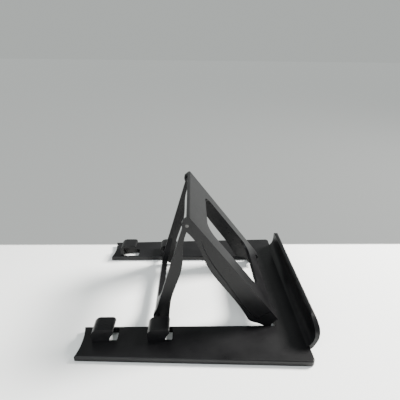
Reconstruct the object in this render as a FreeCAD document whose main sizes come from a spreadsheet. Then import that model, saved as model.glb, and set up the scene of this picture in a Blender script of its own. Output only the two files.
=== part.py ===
"""Folding easel stand: a forked base with a lip and four hoods, a backrest and a leg.

Frame: +X to the lip, +Y across, +Z up, origin on the table under the middle of the base.
"""
import FreeCAD, Part
import math
import os

V = FreeCAD.Vector
doc = FreeCAD.newDocument("album_stand")
sheet = doc.addObject("Spreadsheet::Sheet", "Sizes")
row = 0


def size(alias, value):
    """Name one driving size in the sheet."""
    global row
    row += 1
    sheet.set("A%d" % row, alias)
    sheet.set("B%d" % row, str(value))
    sheet.setAlias("B%d" % row, alias)


# base
size("base_long", 109.8)
size("base_wide", 107.1)
size("gap_wide", 62.6)
size("rail_taper", 4.2)
size("plate_thick", 2.7)
size("foot_show", 0.5)
size("foot_radius", 3.5)
size("cross_deep", 13.0)
size("lip_over", 3.8)
size("lip_wide", 90.0)
size("lip_high", 16.6)
size("lip_thick", 2.2)
size("lip_round", 9.0)
# hoods
size("hood_rear", 5.9)
size("hood_pitch", 25.6)
size("hood_long", 10.0)
size("hood_wide", 8.6)
size("hood_roof", 2.0)
size("hood_wall", 1.9)
size("hood_side", 1.2)
size("strip_wide", 1.4)
# hinges and clearances
size("hinge_back", 16.5)
size("hinge_rise", 0.1)
size("pin_radius", 0.75)
size("pin_fit", 0.05)
size("side_play", 0.5)
size("bar_play", 0.4)
# backrest
size("lean", 52.0)
size("back_high", 71.4)
size("back_front", 6.4)
size("panel_thick", 1.5)
size("arm_thick", 2.2)
size("rim_high", 0.5)
size("pivot_high", 68.4)
size("pivot_fwd", 3.0)
size("window_wide", 40.0)
# leg
size("leg_thick", 2.2)
size("bar_radius", 1.2)
size("bar_rise", 3.5)
size("leg_past", 3.9)
doc.recompute()


def s(alias):
    """Read one size."""
    return float(sheet.get(alias))


# places that follow from the sizes
plate_top = s("foot_show") + s("plate_thick")
hinge_up = s("foot_show") + s("plate_thick") / 2 + s("hinge_rise")
bar_up = plate_top + s("bar_rise")
rear_x = -s("base_long") / 2
front_x = s("base_long") / 2 - s("lip_over")
gap_half = s("gap_wide") / 2
wide_half = s("base_wide") / 2
hinge_x = front_x - s("hinge_back")
hood_at = [rear_x + s("hood_rear") + n * s("hood_pitch") for n in range(2)]
bar_x = hood_at[1] + s("hood_wall") + s("bar_play") + s("bar_radius")
arm_out = gap_half - s("side_play")
arm_in = arm_out - s("arm_thick")
leg_out = arm_in - s("side_play")
leg_in = leg_out - s("leg_thick")
hood_in = gap_half + s("strip_wide")
hood_out = hood_in + s("hood_wide")
hood_inner = hood_out - s("hood_side")
bar_end = hood_inner - s("bar_play")
roof_under = bar_up + s("bar_radius") + s("bar_play")
hole_radius = s("pin_radius") + s("pin_fit")
tilt = math.radians(90 - s("lean"))
pivot_x = hinge_x + s("pivot_fwd") * math.cos(tilt) - s("pivot_high") * math.sin(tilt)
pivot_z = hinge_up + s("pivot_fwd") * math.sin(tilt) + s("pivot_high") * math.cos(tilt)
leg_long = math.hypot(pivot_x - bar_x, pivot_z - bar_up)
leg_turn = math.atan2(pivot_x - bar_x, pivot_z - bar_up)


def new_body(label):
    """Start one piece."""
    body = doc.addObject("PartDesign::Body", label)
    body.Label = label
    return body


def line(a, b):
    """A straight edge in a sketch."""
    return Part.LineSegment(V(a[0], a[1], 0), V(b[0], b[1], 0))


def bow(a, mid, b):
    """An arc through three points in a sketch."""
    return Part.Arc(V(a[0], a[1], 0), V(mid[0], mid[1], 0), V(b[0], b[1], 0))


def smooth(*points):
    """A smooth curve through points in a sketch."""
    curve = Part.BSplineCurve()
    curve.interpolate([V(p[0], p[1], 0) for p in points])
    return curve


def chain(*points):
    """Straight edges from point to point."""
    return [line(a, b) for a, b in zip(points, points[1:])]


def ring(*points):
    """A closed outline of straight edges."""
    return chain(*points, points[0])


def disc(x, y, radius):
    """A circle in a sketch."""
    return [Part.Circle(V(x, y, 0), V(0, 0, 1), radius)]


def rounded(x0, y0, x1, y1, radius):
    """A rectangle with rounded corners."""
    cut = radius * (1 - math.sqrt(0.5))
    edges = [line((x0 + radius, y0), (x1 - radius, y0))]
    edges.append(bow((x1 - radius, y0), (x1 - cut, y0 + cut), (x1, y0 + radius)))
    edges.append(line((x1, y0 + radius), (x1, y1 - radius)))
    edges.append(bow((x1, y1 - radius), (x1 - cut, y1 - cut), (x1 - radius, y1)))
    edges.append(line((x1 - radius, y1), (x0 + radius, y1)))
    edges.append(bow((x0 + radius, y1), (x0 + cut, y1 - cut), (x0, y1 - radius)))
    edges.append(line((x0, y1 - radius), (x0, y0 + radius)))
    edges.append(bow((x0, y0 + radius), (x0 + cut, y0 + cut), (x0 + radius, y0)))
    return edges


def draw(body, name, role, geometry, offset=0.0):
    """A sketch on one of the body's own origin planes, moved along its normal."""
    sketch = body.newObject("Sketcher::SketchObject", name)
    plane = [f for f in body.Origin.OriginFeatures if f.Role == role][0]
    sketch.AttachmentSupport = [(plane, "")]
    sketch.MapMode = "FlatFace"
    sketch.AttachmentOffset = FreeCAD.Placement(V(0, 0, offset), FreeCAD.Rotation())
    sketch.addGeometry(geometry, False)
    return sketch


def feature(body, kind, sketch, length, both=False, back=False):
    """Pad or pocket a sketch by an expression over the sheet."""
    made = body.newObject("PartDesign::" + kind, kind + "_" + sketch.Name)
    made.Profile = sketch
    made.SideType = "Symmetric" if both else "One side"
    made.Reversed = back
    made.setExpression("Length", length)
    sketch.Visibility = False
    doc.recompute()
    if kind == "Pocket" and made.Shape.Volume >= made.BaseFeature.Shape.Volume - 1e-6:
        raise RuntimeError(made.Name + " removed nothing")


def soften(body, radius, test):
    """Round the edges of the body so far that pass a test."""
    tip = body.Tip
    names = ["Edge%d" % (n + 1) for n, e in enumerate(tip.Shape.Edges) if test(e)]
    made = body.newObject("PartDesign::Fillet", "Round_" + body.Name + str(len(body.Group)))
    made.Base = (tip, names)
    made.Radius = radius
    doc.recompute()


def u_outline():
    """The base seen from above: two rails and the cross member."""
    tail = wide_half - s("rail_taper")
    gap_x = front_x - s("cross_deep")
    edges = []
    for side in (1, -1):
        edges.append(line((gap_x, side * gap_half), (rear_x, side * gap_half)))
        middle = (rear_x + 1.2, side * (gap_half + tail) / 2)
        edges.append(bow((rear_x, side * gap_half), middle, (rear_x, side * tail)))
        knee = (front_x - 1.6, side * wide_half)
        edges.append(line((rear_x, side * tail), knee))
        nose = (front_x, side * (wide_half - 2.4))
        edges.append(bow(knee, (front_x - 0.3, side * (wide_half - 0.8)), nose))
    edges.append(line((front_x, wide_half - 2.4), (front_x, 2.4 - wide_half)))
    edges.append(line((gap_x, gap_half), (gap_x, -gap_half)))
    return edges


def lip_outline():
    """The lip seen from the side, bulging forward of the cross member."""
    low = (front_x - 0.3, s("foot_show"))
    top = s("lip_high")
    bulge = front_x + s("lip_over")
    rim = bulge - 1.0
    edges = [smooth(low, (front_x + 2.5, top * 0.28), (bulge, top * 0.62), (rim, top - 0.8))]
    crest = (rim - s("lip_thick") / 2, top)
    edges.append(bow((rim, top - 0.8), crest, (rim - s("lip_thick"), top - 0.8)))
    inside = [(rim - s("lip_thick"), top - 0.8), (bulge - s("lip_thick"), top * 0.62)]
    heel = (front_x - 2.4, plate_top - 0.4)
    inside += [(front_x + 0.6, plate_top + 1.9), heel]
    edges.append(smooth(*inside))
    edges += chain(heel, (front_x - 2.4, s("foot_show")), low)
    return edges


def lip_corner(side):
    """The waste outside one rounded upper corner of the lip."""
    edge = s("lip_wide") / 2
    r = s("lip_round")
    top = s("lip_high")
    cut = r * (1 - math.sqrt(0.5))
    edges = [bow((side * edge, top - r), (side * (edge - cut), top - cut), (side * (edge - r), top))]
    edges += chain((side * (edge - r), top), (side * (edge - r), top + 1))
    edges += chain((side * (edge - r), top + 1), (side * (edge + 1), top + 1))
    edges += chain((side * (edge + 1), top + 1), (side * (edge + 1), top - r), (side * edge, top - r))
    return edges


def hood_outline(x):
    """A hood seen from the side: rear wall, rounded roof, short nose."""
    top = roof_under + s("hood_roof")
    nose = x + s("hood_long")
    low = plate_top - 0.4
    edges = [bow((x, plate_top + 2.2), (x + 0.8, top - 1.1), (x + 3.0, top))]
    edges.append(line((x + 3.0, top), (nose - 1.4, top)))
    edges.append(bow((nose - 1.4, top), (nose - 0.4, top - 0.4), (nose, top - 1.3)))
    edges += chain((nose, top - 1.3), (nose, roof_under - 0.1), (nose - 2.0, plate_top + 1.8))
    edges += chain((nose - 2.0, plate_top + 1.8), (nose - 2.0, low), (x, low), (x, plate_top + 2.2))
    return edges


def build_base():
    """The forked base, its lip, the hoods with the openings under them, hinge and foot seats."""
    body = new_body("base_frame")
    feature(body, "Pad", draw(body, "plan", "XY_Plane", u_outline(), s("foot_show")), "Sizes.plate_thick")
    soften(body, 0.5, lambda e: e.BoundBox.ZMin > plate_top - 0.01)
    feature(body, "Pad", draw(body, "lip", "XZ_Plane", lip_outline()), "Sizes.lip_wide", both=True)
    for side in (1, -1):
        waste = draw(body, "lip_corner%d" % (side + 2), "YZ_Plane", lip_corner(side))
        feature(body, "Pocket", waste, "Sizes.base_long + 4", both=True)
    for n, x in enumerate(hood_at):
        for side in (1, -1):
            tag = "%d%d" % (n, side + 2)
            far = -hood_out if side > 0 else hood_in
            feature(body, "Pad", draw(body, "hood" + tag, "XZ_Plane", hood_outline(x), far), "Sizes.hood_wide")
            wall = x + s("hood_wall")
            low = plate_top - 0.8
            nose = x + s("hood_long") + 1
            mouth = ring((wall, low), (nose, low), (nose, roof_under), (wall, roof_under))
            far = -hood_in + 0.3 if side > 0 else hood_inner
            made = draw(body, "mouth" + tag, "XZ_Plane", mouth, far)
            feature(body, "Pocket", made, "Sizes.hood_wide - Sizes.hood_side + 0.3")
            y0, y1 = sorted((side * hood_in, side * hood_inner))
            hole = draw(body, "hole" + tag, "XY_Plane", rounded(wall, y0, nose + 0.3, y1, 0.6))
            feature(body, "Pocket", hole, "Sizes.foot_show + Sizes.plate_thick + 0.1", back=True)
    for side in (1, -1):
        wall = hood_at[1] + s("hood_wall")
        y0, y1 = sorted((side * (gap_half - 1), side * (hood_in + 0.8)))
        x1 = bar_x + s("bar_radius") + s("bar_play") + 0.4
        gate = draw(body, "gate%d" % (side + 2), "XY_Plane", ring((wall, y0), (x1, y0), (x1, y1), (wall, y1)))
        feature(body, "Pocket", gate, "Sizes.foot_show + Sizes.plate_thick + 0.1", back=True)
    seat = draw(body, "pin_seat", "XZ_Plane", disc(hinge_x, hinge_up, hole_radius))
    feature(body, "Pocket", seat, "Sizes.gap_wide + 8", both=True)
    for n, (x, y) in enumerate(foot_places()):
        seat = draw(body, "foot_seat%d" % n, "XY_Plane", disc(x, y, s("foot_radius") + s("pin_fit")))
        feature(body, "Pocket", seat, "Sizes.foot_show * 2", back=True)


def foot_places():
    """Where the four feet sit under the base."""
    rail_mid = (gap_half + wide_half - s("rail_taper")) / 2
    places = []
    for x, y in ((hood_at[1] - 6.5, rail_mid), (front_x - s("cross_deep") / 2, rail_mid + 3)):
        places += [(x, y), (x, -y)]
    return places


def build_feet():
    """Four rubber discs let into the underside."""
    names = ("rear_left", "rear_right", "front_left", "front_right")
    for name, (x, y) in zip(names, foot_places()):
        foot = doc.addObject("Part::Cylinder", "rubber_foot_" + name)
        foot.Label = foot.Name
        foot.setExpression("Radius", "Sizes.foot_radius")
        foot.setExpression("Height", "Sizes.foot_show * 2")
        foot.Placement.Base = V(x, y, 0)


def back_outline():
    """The backrest seen from the side: front face, top, curved rear edge, hinge boss."""
    front = s("back_front")
    top = s("back_high")
    high = s("pivot_high")
    fwd = s("pivot_fwd")
    edges = chain((front, 0.8), (front, top - 1))
    edges.append(bow((front, top - 1), (front - 0.3, top - 0.3), (front - 1, top)))
    edges.append(line((front - 1, top), (fwd, top)))
    edges.append(bow((fwd, top), (fwd - 1.9, high + 1.2), (fwd - 2.2, high - 1)))
    rear = [(fwd - 2.2, high - 1), (fwd - 2.3, high * 0.84), (fwd - 4.9, high * 0.71)]
    rear += [(fwd - 6.4, high * 0.45), (fwd - 8.0, high * 0.156)]
    edges.append(smooth(*rear))
    edges.append(smooth((fwd - 8.0, high * 0.156), (-4.0, 6.6), (-1.9, 3.4), (-1.65, 0)))
    edges.append(bow((-1.65, 0), (0, -1.65), (1.65, 0)))
    edges.append(line((1.65, 0), (front, 0.8)))
    return edges


def arm_hollow():
    """The shallow hollow in an arm's outer face, inside its rim."""
    fwd = s("pivot_fwd")
    high = s("pivot_high")
    edge = s("back_front") - 1.1
    rear = [(fwd + 0.2, high * 0.86), (fwd - 2.6, high * 0.71), (fwd - 4.2, high * 0.45)]
    rear += [(fwd - 5.5, high * 0.19), (-0.9, high * 0.1)]
    edges = [smooth(*rear)]
    edges += chain((-0.9, high * 0.1), (edge, high * 0.1), (edge, high * 0.86), (fwd + 0.2, high * 0.86))
    return edges


def build_backrest():
    """The backrest: a thin front panel with a window between two deep side arms."""
    body = new_body("backrest_frame")
    outline = draw(body, "side", "XZ_Plane", back_outline())
    feature(body, "Pad", outline, "2 * (Sizes.gap_wide / 2 - Sizes.side_play)", both=True)
    inner = s("back_front") - s("panel_thick")
    far = -s("pivot_high")
    over = s("back_high") + 5
    room = draw(body, "room", "XZ_Plane", ring((far, -5), (inner, -5), (inner, over), (far, over)))
    feature(body, "Pocket", room, "2 * (Sizes.gap_wide / 2 - Sizes.side_play - Sizes.arm_thick)", both=True)
    half = s("window_wide") / 2
    opening = rounded(-half, s("back_high") * 0.2, half, s("back_high") * 0.8, 6)
    feature(body, "Pocket", draw(body, "window", "YZ_Plane", opening), "4 * Sizes.back_front", both=True)
    mouth = rounded(-arm_in + 4, -8, arm_in - 4, 4.5, 2)
    feature(body, "Pocket", draw(body, "heel", "YZ_Plane", mouth), "4 * Sizes.back_front", both=True)
    floor = arm_out - s("rim_high")
    for side in (1, -1):
        hollow = draw(body, "hollow%d" % (side + 2), "XZ_Plane", arm_hollow(), -side * floor)
        feature(body, "Pocket", hollow, "Sizes.rim_high + 1", back=side < 0)
    spots = disc(0, 0, hole_radius) + disc(s("pivot_fwd"), s("pivot_high"), hole_radius)
    feature(body, "Pocket", draw(body, "pin_holes", "XZ_Plane", spots), "Sizes.gap_wide", both=True)
    turn = FreeCAD.Rotation(V(0, 1, 0), s("lean") - 90)
    body.Placement = FreeCAD.Placement(V(hinge_x, 0, hinge_up), turn)


def leg_outline():
    """One leg seen from the side: slim at the pivot, deep towards the toe."""
    tip = leg_long + s("leg_past")
    edges = [bow((-1.4, -0.6), (0, 1.55), (1.5, -0.6))]
    front = [(1.5, -0.6), (1.7, -leg_long * 0.24), (3.8, -leg_long * 0.4), (3.9, -leg_long * 0.76)]
    front += [(5.3, -leg_long * 0.94), (6.9, -tip)]
    edges.append(smooth(*front))
    edges.append(smooth((6.9, -tip), (3.2, -tip + 0.2), (-0.2, -leg_long - 2.5), (-2.0, -leg_long - 0.6)))
    edges += chain((-2.0, -leg_long - 0.6), (-2.0, -leg_long + 1), (-1.4, -leg_long + 4), (-1.4, -0.6))
    return edges


def build_leg():
    """The leg frame: two legs, the foot bar that goes into the hoods, and the arched web."""
    body = new_body("leg_frame")
    outline = draw(body, "side", "XZ_Plane", leg_outline())
    inner = "Sizes.gap_wide / 2 - 2 * Sizes.side_play - Sizes.arm_thick"
    feature(body, "Pad", outline, "2 * (%s)" % inner, both=True)
    span = "2 * (%s - Sizes.leg_thick)" % inner
    far = leg_long * 2
    room = draw(body, "room", "XZ_Plane", ring((-20, -far), (20, -far), (20, 20), (-20, 20)))
    feature(body, "Pocket", room, span, both=True)
    bar = draw(body, "bar", "XZ_Plane", disc(0, -leg_long, s("bar_radius")))
    reach = "Sizes.gap_wide / 2 + Sizes.strip_wide + Sizes.hood_wide - Sizes.hood_side - Sizes.bar_play"
    feature(body, "Pad", bar, "2 * (%s)" % reach, both=True)
    low = -leg_long - 0.8
    high = low + 3.6
    side = leg_in + 0.5
    web = chain((-side, low), (side, low), (side, high + 13))
    web.append(smooth((side, high + 13), (side - 3.5, high + 5), (side - 12, high)))
    web.append(line((side - 12, high), (12 - side, high)))
    web.append(smooth((12 - side, high), (3.5 - side, high + 5), (-side, high + 13)))
    web.append(line((-side, high + 13), (-side, low)))
    feature(body, "Pad", draw(body, "web", "YZ_Plane", web), "Sizes.bar_radius * 2.5", both=True)
    hole = draw(body, "pin_hole", "XZ_Plane", disc(0, 0, hole_radius))
    feature(body, "Pocket", hole, "Sizes.gap_wide", both=True)
    turn = FreeCAD.Rotation(V(0, 1, 0), math.degrees(leg_turn))
    body.Placement = FreeCAD.Placement(V(pivot_x, 0, pivot_z), turn)


def build_pins():
    """Two short pins at the base hinge and two at the leg hinge."""
    places = (("base_hinge_pin", hinge_x, hinge_up, arm_in + 0.1, gap_half + 3.8))
    upper = ("leg_hinge_pin", pivot_x, pivot_z, leg_in + 0.1, arm_out - 0.1)
    for name, x, z, near, far in (places, upper):
        for side, tag in ((1, "left"), (-1, "right")):
            pin = doc.addObject("Part::Cylinder", name + "_" + tag)
            pin.Label = pin.Name
            pin.setExpression("Radius", "Sizes.pin_radius")
            pin.Height = far - near
            turn = FreeCAD.Rotation(V(1, 0, 0), -90 * side)
            pin.Placement = FreeCAD.Placement(V(x, side * near, z), turn)


def write_parts():
    """Check every object, then write each piece."""
    doc.recompute()
    for item in doc.Objects:
        if "Invalid" in item.State or "Error" in item.State:
            raise RuntimeError(item.Label + " failed: " + str(item.State))
    pieces = [o for o in doc.Objects if o.TypeId in ("PartDesign::Body", "Part::Cylinder")]
    for piece in pieces:
        if piece.Shape.isNull() or not piece.Shape.isValid() or len(piece.Shape.Solids) != 1:
            raise RuntimeError(piece.Label + " is not one valid solid")
    os.makedirs("parts", exist_ok=True)
    for piece in pieces:
        piece.Shape.exportStep(os.path.join("parts", piece.Label + ".step"))


build_base()
build_feet()
build_backrest()
build_leg()
build_pins()
write_parts()
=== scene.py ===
"""Visual model of the folding easel stand, laid out as an add-on and run as a script."""
import bpy
import math
from bpy.props import FloatProperty, FloatVectorProperty, PointerProperty
from mathutils import Matrix, Vector


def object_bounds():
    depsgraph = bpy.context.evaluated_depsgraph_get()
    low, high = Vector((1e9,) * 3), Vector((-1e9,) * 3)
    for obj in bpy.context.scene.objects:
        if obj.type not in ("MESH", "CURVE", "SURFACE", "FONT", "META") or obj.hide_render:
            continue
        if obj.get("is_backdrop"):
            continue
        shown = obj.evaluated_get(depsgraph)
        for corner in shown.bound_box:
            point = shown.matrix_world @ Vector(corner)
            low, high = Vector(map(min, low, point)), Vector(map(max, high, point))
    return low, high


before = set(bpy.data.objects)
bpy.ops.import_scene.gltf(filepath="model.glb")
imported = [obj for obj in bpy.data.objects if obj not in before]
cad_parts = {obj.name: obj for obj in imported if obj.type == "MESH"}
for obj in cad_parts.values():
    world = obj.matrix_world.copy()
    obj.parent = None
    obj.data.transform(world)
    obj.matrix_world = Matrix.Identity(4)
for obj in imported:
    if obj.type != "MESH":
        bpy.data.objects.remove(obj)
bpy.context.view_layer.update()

bl_info = {
    "name": "Folding Easel Stand",
    "version": (1, 0, 0),
    "blender": (4, 5, 0),
    "location": "View3D > Sidebar > Easel Stand",
    "description": "Finishes and stages a folding easel stand",
    "category": "Object",
}


# ---------------------------------------------------------------- shader kit
class Value:
    """A float or vector output socket that does arithmetic by adding nodes."""

    def __init__(self, shader, socket):
        self.shader = shader
        self.socket = socket

    def _math(self, operation, *others):
        return self.shader.node("ShaderNodeMath", {"operation": operation}, dict(enumerate((self,) + others)))

    def __add__(self, other):
        return self._math("ADD", other)

    def __radd__(self, other):
        return self._math("ADD", other)

    def __sub__(self, other):
        return self._math("SUBTRACT", other)

    def __rsub__(self, other):
        return self.shader.wrap(other)._math("SUBTRACT", self)

    def __mul__(self, other):
        return self._math("MULTIPLY", other)

    def __rmul__(self, other):
        return self._math("MULTIPLY", other)

    def ramp(self, low, high):
        """Smooth 0 to 1 between low and high."""
        settings = {"interpolation_type": "SMOOTHSTEP"}
        return self.shader.node("ShaderNodeMapRange", settings, {"Value": self, "From Min": low, "From Max": high})


class Shader:
    """A material with one Principled shader."""

    def __init__(self, name, **constants):
        self.material = bpy.data.materials.new(name)
        self.material.use_nodes = True
        self.tree = self.material.node_tree
        self.bsdf = self.tree.nodes["Principled BSDF"]
        for socket, value in constants.items():
            self.bsdf.inputs[socket.replace("_", " ")].default_value = value

    def node(self, kind, settings=None, inputs=None, output=0):
        made = self.tree.nodes.new(kind)
        for key, value in (settings or {}).items():
            setattr(made, key, value)
        for key, value in (inputs or {}).items():
            if isinstance(value, Value):
                self.tree.links.new(value.socket, made.inputs[key])
            else:
                made.inputs[key].default_value = value
        return Value(self, made.outputs[output])

    def wrap(self, number):
        return number if isinstance(number, Value) else self.node("ShaderNodeMath", {"operation": "ADD"}, {0: number, 1: 0.0})

    def where(self):
        return self.node("ShaderNodeTexCoord", output="Object")

    def noise(self, scale, detail=4.0, rough=0.55, stretch=(1, 1, 1)):
        place = self.node("ShaderNodeMapping", inputs={"Vector": self.where(), "Scale": stretch})
        return self.node("ShaderNodeTexNoise", inputs={"Vector": place, "Scale": scale, "Detail": detail, "Roughness": rough})

    def cells(self, scale):
        return self.node("ShaderNodeTexVoronoi", {"feature": "F1"}, {"Vector": self.where(), "Scale": scale})

    def mix(self, factor, first, second):
        """Blend two colours."""
        return self.node("ShaderNodeMix", {"data_type": "RGBA"}, {0: factor, 6: first, 7: second}, output=2)

    def set(self, socket, value):
        self.tree.links.new(value.socket, self.bsdf.inputs[socket])

    def bump(self, height, strength, distance):
        made = self.node("ShaderNodeBump", inputs={"Height": height, "Strength": strength, "Distance": distance})
        self.set("Normal", made)


def rgba(colour):
    return (*colour, 1.0)


def moulded_plastic(name, colour, roughness):
    """Satin black moulding: fine spark-eroded grain, cloudy sheen, faint rubbed streaks and dust."""
    shader = Shader(name, IOR=1.45, Specular_IOR_Level=0.24)
    grain = shader.noise(9000, 2.0, 0.6)
    cloud = shader.noise(60, 3.0, 0.5)
    streak = shader.noise(220, 3.0, 0.7, (1, 14, 6))
    dust = shader.cells(1500).ramp(0.16, 0.02) * shader.noise(300, 2.0).ramp(0.56, 0.72)
    light = tuple(min(1.0, c * 1.6 + 0.006) for c in colour)
    base = shader.mix(cloud.ramp(0.35, 0.75) * 0.45, rgba(colour), rgba(light))
    shader.set("Base Color", shader.mix(dust * 0.28, base, (0.30, 0.29, 0.27, 1)))
    rubbed = streak.ramp(0.55, 0.75) * 0.07
    shader.set("Roughness", roughness + (cloud - 0.5) * 0.16 + (grain - 0.5) * 0.08 - rubbed + dust * 0.2)
    shader.bump(grain * 0.7 + streak * 0.3, 0.12, 0.00003)
    return shader.material


def black_rubber(name):
    """Matte rubber with a fine pebbled skin."""
    shader = Shader(name, IOR=1.45)
    pebble = shader.cells(4200)
    cloud = shader.noise(240, 3.0)
    shader.set("Base Color", shader.mix(cloud, (0.018, 0.018, 0.018, 1), (0.045, 0.044, 0.042, 1)))
    shader.set("Roughness", 0.72 + cloud * 0.18)
    shader.bump(pebble, 0.35, 0.00005)
    return shader.material


def turned_steel(name):
    """Blackened steel wire with fine rings."""
    shader = Shader(name, Metallic=1.0)
    rings = shader.noise(900, 3.0, 0.6, (1, 8, 1))
    shader.set("Base Color", shader.mix(rings, (0.05, 0.05, 0.052, 1), (0.11, 0.108, 0.105, 1)))
    shader.set("Roughness", 0.30 + rings * 0.2)
    shader.bump(rings, 0.12, 0.00002)
    return shader.material


def table_top(name, near, far, edge):
    """White table with a pale grey zone behind it and soft mottling."""
    shader = Shader(name, IOR=1.4, Emission_Strength=1.0, Specular_IOR_Level=0.2)
    place = shader.node("ShaderNodeSeparateXYZ", inputs={"Vector": shader.where()}, output=1)
    behind = place.ramp(edge, edge + 0.002)
    mottle = shader.noise(7, 4.0, 0.5)
    fine = shader.noise(420, 3.0, 0.6)
    pale = tuple(c * 0.94 for c in near)
    front = shader.mix(mottle, rgba(near), rgba(pale))
    shader.set("Base Color", shader.mix(behind, front, (0.02, 0.02, 0.02, 1)))
    shader.set("Emission Color", shader.mix(behind, (0, 0, 0, 1), rgba(far)))
    shader.set("Roughness", 0.6 + fine * 0.2 + behind * 0.2)
    shader.bump(fine, 0.06, 0.0001)
    return shader.material


# ---------------------------------------------------------------- mesh kit
def finish_node(node, material, radius):
    """Round the hard edges of a carried-over piece and give it its material."""
    obj = bpy.data.objects[node]
    obj.data.materials.clear()
    obj.data.materials.append(material)
    bevel = obj.modifiers.new("Edge rounding", "BEVEL")
    bevel.width = radius
    bevel.segments = 3
    bevel.limit_method = "ANGLE"
    bevel.angle_limit = math.radians(42)
    bevel.use_clamp_overlap = True
    bevel.harden_normals = False
    smooth = obj.modifiers.new("Even normals", "WEIGHTED_NORMAL")
    smooth.keep_sharp = True
    return obj


def plastic(settings):
    found = bpy.data.materials.get("Moulded plastic")
    return found or moulded_plastic("Moulded plastic", settings.colour, settings.roughness)


# ---------------------------------------------------------------- settings
class StandSettings(bpy.types.PropertyGroup):
    """Finish of the stand."""

    colour: FloatVectorProperty(name="Colour", description="Plastic colour", subtype="COLOR", size=3,
                                default=(0.004, 0.004, 0.0045), min=0, max=1)
    roughness: FloatProperty(name="Roughness", description="Sheen of the plastic", default=0.33, min=0, max=1)
    rounding: FloatProperty(name="Edge rounding", description="Radius of the moulded edges", unit="LENGTH",
                            default=0.00022, min=0, max=0.001)


class StageSettings(bpy.types.PropertyGroup):
    """Table, light and camera."""

    table: FloatVectorProperty(name="Table", description="Table colour", subtype="COLOR", size=3,
                               default=(0.95, 0.97, 0.96), min=0, max=1)
    wall: FloatVectorProperty(name="Background", description="Colour behind the table", subtype="COLOR", size=3,
                              default=(0.50, 0.525, 0.51), min=0, max=1)
    table_edge: FloatProperty(name="Table edge", description="Distance of the table's far edge", unit="LENGTH",
                              default=0.0505)
    lamp: FloatProperty(name="Lamp", description="Power of the main lamp in watts", default=19.0, min=0)
    fill: FloatProperty(name="Fill", description="Strength of the room light", default=1.0, min=0)
    lens: FloatProperty(name="Lens", description="Focal length in millimetres", default=31.67, min=10)
    tilt: FloatProperty(name="Tilt", description="Camera angle below level", subtype="ANGLE",
                        default=math.radians(23.35))
    turn: FloatProperty(name="Turn", description="Camera angle towards the lip", subtype="ANGLE",
                        default=math.radians(1.54))
    roll: FloatProperty(name="Roll", description="Camera roll", subtype="ANGLE", default=math.radians(0.67))
    eye: FloatVectorProperty(name="Eye", description="Camera position", subtype="TRANSLATION", unit="LENGTH",
                             size=3, default=(-0.0033, -0.16504, 0.12800))


# ---------------------------------------------------------------- operators
class PieceOperator:
    """Shared parts of the piece operators."""

    bl_options = {"REGISTER", "UNDO"}

    @staticmethod
    def settings(context):
        return context.scene.easel_stand


class STAND_OT_base(PieceOperator, bpy.types.Operator):
    """Finish the forked base with its lip and hoods"""

    bl_idname = "easel_stand.base"
    bl_label = "Base"

    def execute(self, context):
        settings = self.settings(context)
        finish_node("base_frame", plastic(settings), settings.rounding)
        return {"FINISHED"}


class STAND_OT_backrest(PieceOperator, bpy.types.Operator):
    """Finish the backrest"""

    bl_idname = "easel_stand.backrest"
    bl_label = "Backrest"

    def execute(self, context):
        settings = self.settings(context)
        finish_node("backrest_frame", plastic(settings), settings.rounding)
        return {"FINISHED"}


class STAND_OT_leg(PieceOperator, bpy.types.Operator):
    """Finish the leg frame and its foot bar"""

    bl_idname = "easel_stand.leg"
    bl_label = "Leg"

    def execute(self, context):
        settings = self.settings(context)
        finish_node("leg_frame", plastic(settings), settings.rounding)
        return {"FINISHED"}


class STAND_OT_pins(PieceOperator, bpy.types.Operator):
    """Finish the four hinge pins"""

    bl_idname = "easel_stand.pins"
    bl_label = "Hinge pins"

    def execute(self, context):
        steel = turned_steel("Blackened steel")
        for hinge in ("base", "leg"):
            for side in ("left", "right"):
                finish_node("%s_hinge_pin_%s" % (hinge, side), steel, 0.00012)
        return {"FINISHED"}


class STAND_OT_feet(PieceOperator, bpy.types.Operator):
    """Finish the four rubber feet"""

    bl_idname = "easel_stand.feet"
    bl_label = "Rubber feet"

    def execute(self, context):
        rubber = black_rubber("Rubber")
        for end in ("rear", "front"):
            for side in ("left", "right"):
                finish_node("rubber_foot_%s_%s" % (end, side), rubber, 0.00015)
        return {"FINISHED"}


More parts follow.
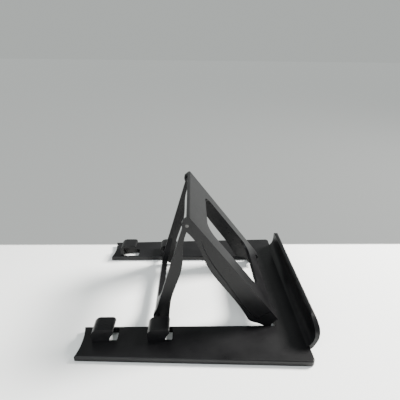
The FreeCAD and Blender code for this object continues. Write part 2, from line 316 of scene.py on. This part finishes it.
class STAND_OT_stage(PieceOperator, bpy.types.Operator):
    """Build the table, the light and the camera"""

    bl_idname = "easel_stand.stage"
    bl_label = "Stage"

    def execute(self, context):
        stage = context.scene.easel_stage
        self.table(context, stage)
        self.lights(context, stage)
        self.camera(context, stage)
        return {"FINISHED"}

    def table(self, context, stage):
        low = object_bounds()[0].z
        mesh = bpy.data.meshes.new("Table")
        corners = [(x * 4, y * 4, low) for x, y in ((-1, -1), (1, -1), (1, 1), (-1, 1))]
        mesh.from_pydata(corners, [], [(0, 1, 2, 3)])
        top = bpy.data.objects.new("Table", mesh)
        context.scene.collection.objects.link(top)
        mesh.materials.append(table_top("Table top", tuple(stage.table), tuple(stage.wall), stage.table_edge))
        top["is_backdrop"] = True

    def area(self, context, name, place, width, power, colour):
        lamp = bpy.data.lights.new(name, "AREA")
        lamp.shape = "DISK"
        lamp.size = width
        lamp.energy = power
        lamp.color = colour
        made = bpy.data.objects.new(name, lamp)
        context.scene.collection.objects.link(made)
        made.location = place
        made.rotation_euler = (-Vector(place)).to_track_quat("-Z", "Y").to_euler()
        made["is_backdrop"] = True

    def lights(self, context, stage):
        self.area(context, "Main lamp", (0.46, 0.16, 0.44), 0.20, stage.lamp, (1.0, 0.97, 0.93))
        self.area(context, "Front lamp", (-0.30, -0.55, 0.55), 0.7, stage.lamp * 0.3, (0.94, 0.97, 1.0))
        world = bpy.data.worlds.new("Room")
        world.use_nodes = True
        sky = world.node_tree.nodes["Background"]
        sky.inputs["Color"].default_value = rgba(tuple(stage.wall))
        sky.inputs["Strength"].default_value = stage.fill
        context.scene.world = world

    def camera(self, context, stage):
        data = bpy.data.cameras.new("Camera")
        data.lens = stage.lens
        data.sensor_width = 36
        data.clip_start = 0.01
        camera = bpy.data.objects.new("Camera", data)
        context.scene.collection.objects.link(camera)
        turn = Matrix.Rotation(-stage.turn, 4, "Z")
        tilt = Matrix.Rotation(math.pi / 2 - stage.tilt, 4, "X")
        roll = Matrix.Rotation(stage.roll, 4, "Z")
        camera.matrix_world = Matrix.Translation(stage.eye) @ turn @ tilt @ roll
        context.scene.camera = camera


class STAND_PT_panel(bpy.types.Panel):
    """Sidebar panel with the sizes and the steps"""

    bl_idname = "STAND_PT_panel"
    bl_label = "Easel Stand"
    bl_space_type = "VIEW_3D"
    bl_region_type = "UI"
    bl_category = "Easel Stand"

    def draw(self, context):
        layout = self.layout
        for group in (context.scene.easel_stand, context.scene.easel_stage):
            for name in group.bl_rna.properties.keys():
                if name not in ("rna_type", "name"):
                    layout.prop(group, name)
        for operator in OPERATORS:
            layout.operator(operator.bl_idname)


OPERATORS = (STAND_OT_base, STAND_OT_backrest, STAND_OT_leg, STAND_OT_pins, STAND_OT_feet, STAND_OT_stage)
CLASSES = (StandSettings, StageSettings, *OPERATORS, STAND_PT_panel)


def register():
    for made in CLASSES:
        bpy.utils.register_class(made)
    bpy.types.Scene.easel_stand = PointerProperty(type=StandSettings)
    bpy.types.Scene.easel_stage = PointerProperty(type=StageSettings)


def unregister():
    del bpy.types.Scene.easel_stage
    del bpy.types.Scene.easel_stand
    for made in reversed(CLASSES):
        bpy.utils.unregister_class(made)


def main():
    """Register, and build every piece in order."""
    register()
    bpy.ops.easel_stand.base()
    bpy.ops.easel_stand.backrest()
    bpy.ops.easel_stand.leg()
    bpy.ops.easel_stand.pins()
    bpy.ops.easel_stand.feet()
    bpy.ops.easel_stand.stage()


if __name__ == "__main__":
    main()
